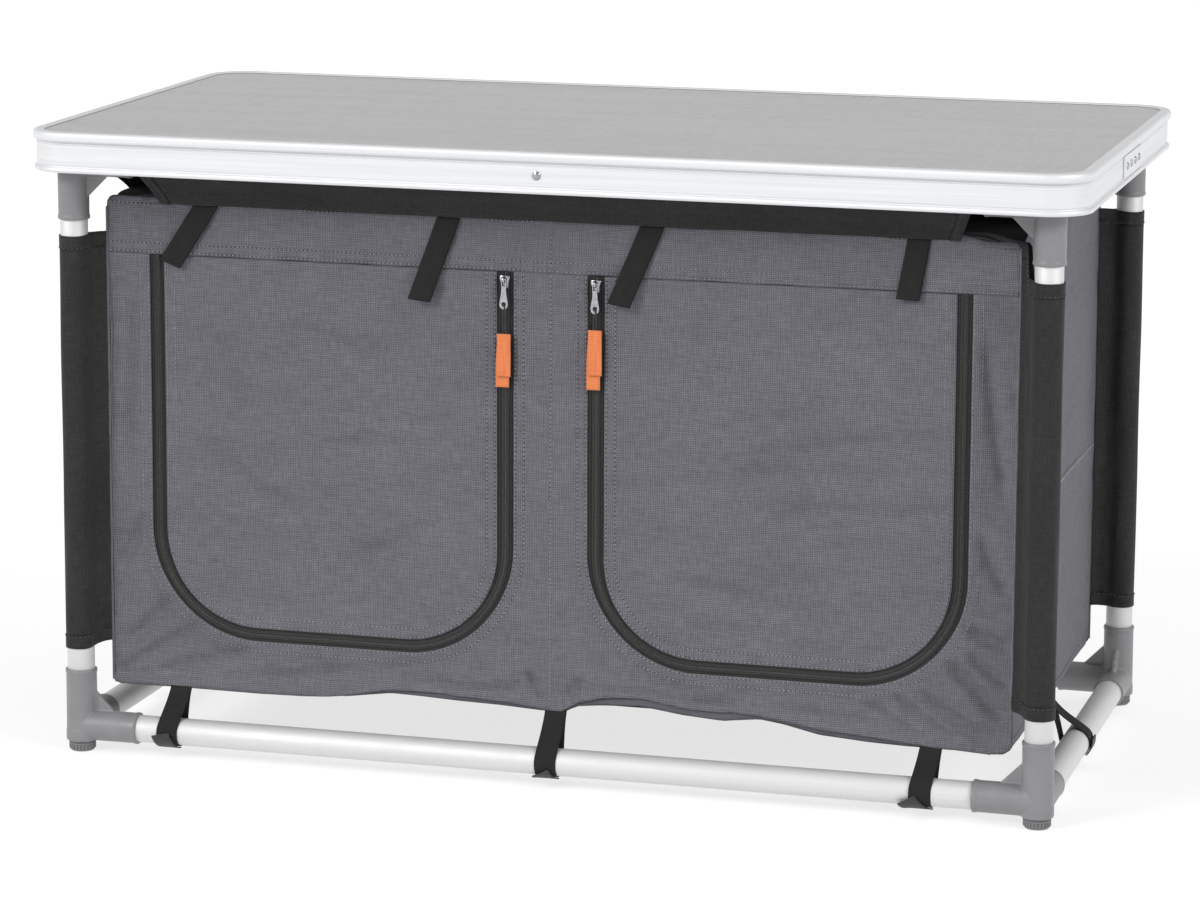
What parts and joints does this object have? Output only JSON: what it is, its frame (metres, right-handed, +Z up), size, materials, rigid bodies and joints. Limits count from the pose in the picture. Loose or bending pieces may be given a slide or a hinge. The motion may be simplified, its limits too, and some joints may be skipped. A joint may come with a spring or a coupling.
{
  "type": "camping cupboard",
  "caption": "Camping cupboard with a grey laminate tabletop on a slot-together aluminium tube frame and a hung grey fabric cabinet with zipped roll-up doors.",
  "frame": {"origin": "on the ground under the middle of the cupboard, the middle of the bounding box's bottom face", "axes": "+X towards the right end as seen from the front, -Y towards the front with the doors, +Z up"},
  "size_m": [1.003, 0.53, 0.6],
  "materials": {
    "aluminium_tube": "satin anodised tube",
    "aluminium_edge": "satin edge profile",
    "bright_steel": "bright",
    "corner_plastic": "satin moulded",
    "foot_plastic": "matte moulded",
    "laminate": "fine linen-textured grey laminate on a wood fibre board",
    "grey_cloth": "plain woven coated polyester",
    "black_cloth": "plain woven coated polyester",
    "covered_board": "stiffening board in a fabric cover",
    "zip_tape": "woven zip tape with a coil",
    "slider_chrome": "polished",
    "orange_webbing": "woven tape",
    "black_webbing": "hook-and-loop webbing"
  },
  "bodies": {
    "frame_and_cabinet": {"lower_corner_front_left": "corner_plastic", "lower_corner_front_right": "corner_plastic", "lower_corner_back_left": "corner_plastic", "lower_corner_back_right": "corner_plastic", "upper_corner_front_left": "corner_plastic", "upper_corner_front_right": "corner_plastic", "upper_corner_back_left": "corner_plastic", "upper_corner_back_right": "corner_plastic", "leg_tube_front_left": "aluminium_tube", "leg_tube_front_right": "aluminium_tube", "leg_tube_back_left": "aluminium_tube", "leg_tube_back_right": "aluminium_tube", "lower_rail_front": "aluminium_tube", "lower_rail_back": "aluminium_tube", "lower_rail_left": "aluminium_tube", "lower_rail_right": "aluminium_tube", "upper_rail_front": "aluminium_tube", "upper_rail_back": "aluminium_tube", "upper_rail_left": "aluminium_tube", "upper_rail_right": "aluminium_tube", "front_panel": "grey_cloth", "left_side_panel": "grey_cloth", "right_side_panel": "grey_cloth", "back_panel": "grey_cloth", "floor_panel": "covered_board", "roof_panel": "black_cloth", "front_rail_sleeve": "black_cloth", "centre_divider": "grey_cloth", "left_shelf": "covered_board", "right_shelf": "covered_board", "leg_sleeve_front_left": "black_cloth", "leg_sleeve_front_right": "black_cloth", "leg_sleeve_back_left": "black_cloth", "leg_sleeve_back_right": "black_cloth", "tie_front_left": "black_webbing", "tie_front_middle": "black_webbing", "tie_front_right": "black_webbing", "tie_left": "black_webbing", "tie_right": "black_webbing"},
    "tabletop": {"tabletop_board": "laminate", "tabletop_edge_rail": "aluminium_edge", "edge_splice_plate": "bright_steel", "edge_rivet": "bright_steel"},
    "left_door_flap": {"left_door": "grey_cloth", "left_door_zip": "zip_tape"},
    "right_door_flap": {"right_door": "grey_cloth", "right_door_zip": "zip_tape"},
    "left_slider": {"left_zip_slider": "slider_chrome"},
    "right_slider": {"right_zip_slider": "slider_chrome"},
    "left_pull": {"left_zip_pull": "orange_webbing"},
    "right_pull": {"right_zip_pull": "orange_webbing"},
    "strap_1": {"roll_strap_1": "black_webbing"},
    "strap_2": {"roll_strap_2": "black_webbing"},
    "strap_3": {"roll_strap_3": "black_webbing"},
    "strap_4": {"roll_strap_4": "black_webbing"},
    "levelling_foot_front_left": {"foot_front_left": "foot_plastic"},
    "levelling_foot_front_right": {"foot_front_right": "foot_plastic"},
    "levelling_foot_back_left": {"foot_back_left": "foot_plastic"},
    "levelling_foot_back_right": {"foot_back_right": "foot_plastic"}
  },
  "joints": [
    {"name": "tabletop_lift", "type": "slide", "parent": "frame_and_cabinet", "child": "tabletop", "axis": [0, 0, 1], "range_m": [0, 0.25]},
    {"name": "left_door_hinge", "type": "hinge", "parent": "frame_and_cabinet", "child": "left_door_flap", "pos_m": [-0.2145, -0.215, 0.482], "axis": [-1, 0, 0], "range_deg": [0, 90]},
    {"name": "left_zip_run", "type": "slide", "parent": "left_door_flap", "child": "left_slider", "axis": [0, 0, -1], "range_m": [0, 0.245]},
    {"name": "left_pull_hinge", "type": "hinge", "parent": "left_slider", "child": "left_pull", "pos_m": [-0.0435, -0.2197, 0.475], "axis": [-1, 0, 0], "range_deg": [0, 45]},
    {"name": "right_door_hinge", "type": "hinge", "parent": "frame_and_cabinet", "child": "right_door_flap", "pos_m": [0.2145, -0.215, 0.482], "axis": [-1, 0, 0], "range_deg": [0, 90]},
    {"name": "right_zip_run", "type": "slide", "parent": "right_door_flap", "child": "right_slider", "axis": [0, 0, -1], "range_m": [0, 0.245]},
    {"name": "right_pull_hinge", "type": "hinge", "parent": "right_slider", "child": "right_pull", "pos_m": [0.0435, -0.2197, 0.475], "axis": [-1, 0, 0], "range_deg": [0, 45]},
    {"name": "strap_1_hinge", "type": "hinge", "parent": "frame_and_cabinet", "child": "strap_1", "pos_m": [-0.33574, -0.2162, 0.53], "axis": [-1, 0, 0], "range_deg": [0, 90]},
    {"name": "strap_2_hinge", "type": "hinge", "parent": "frame_and_cabinet", "child": "strap_2", "pos_m": [-0.09771, -0.2162, 0.53], "axis": [-1, 0, 0], "range_deg": [0, 90]},
    {"name": "strap_3_hinge", "type": "hinge", "parent": "frame_and_cabinet", "child": "strap_3", "pos_m": [0.09617, -0.2162, 0.53], "axis": [-1, 0, 0], "range_deg": [0, 90]},
    {"name": "strap_4_hinge", "type": "hinge", "parent": "frame_and_cabinet", "child": "strap_4", "pos_m": [0.34292, -0.2162, 0.53], "axis": [-1, 0, 0], "range_deg": [0, 90]},
    {"name": "foot_screw_front_left", "type": "slide", "parent": "frame_and_cabinet", "child": "levelling_foot_front_left", "axis": [0, 0, -1], "range_m": [0, 0.012]},
    {"name": "foot_screw_front_right", "type": "slide", "parent": "frame_and_cabinet", "child": "levelling_foot_front_right", "axis": [0, 0, -1], "range_m": [0, 0.012]},
    {"name": "foot_screw_back_left", "type": "slide", "parent": "frame_and_cabinet", "child": "levelling_foot_back_left", "axis": [0, 0, -1], "range_m": [0, 0.012]},
    {"name": "foot_screw_back_right", "type": "slide", "parent": "frame_and_cabinet", "child": "levelling_foot_back_right", "axis": [0, 0, -1], "range_m": [0, 0.012]}
  ],
  "couplings": [
    {"joint": "strap_1_hinge", "follows": "left_door_hinge", "ratio": 1},
    {"joint": "strap_2_hinge", "follows": "left_door_hinge", "ratio": 1},
    {"joint": "strap_3_hinge", "follows": "right_door_hinge", "ratio": 1},
    {"joint": "strap_4_hinge", "follows": "right_door_hinge", "ratio": 1}
  ]
}
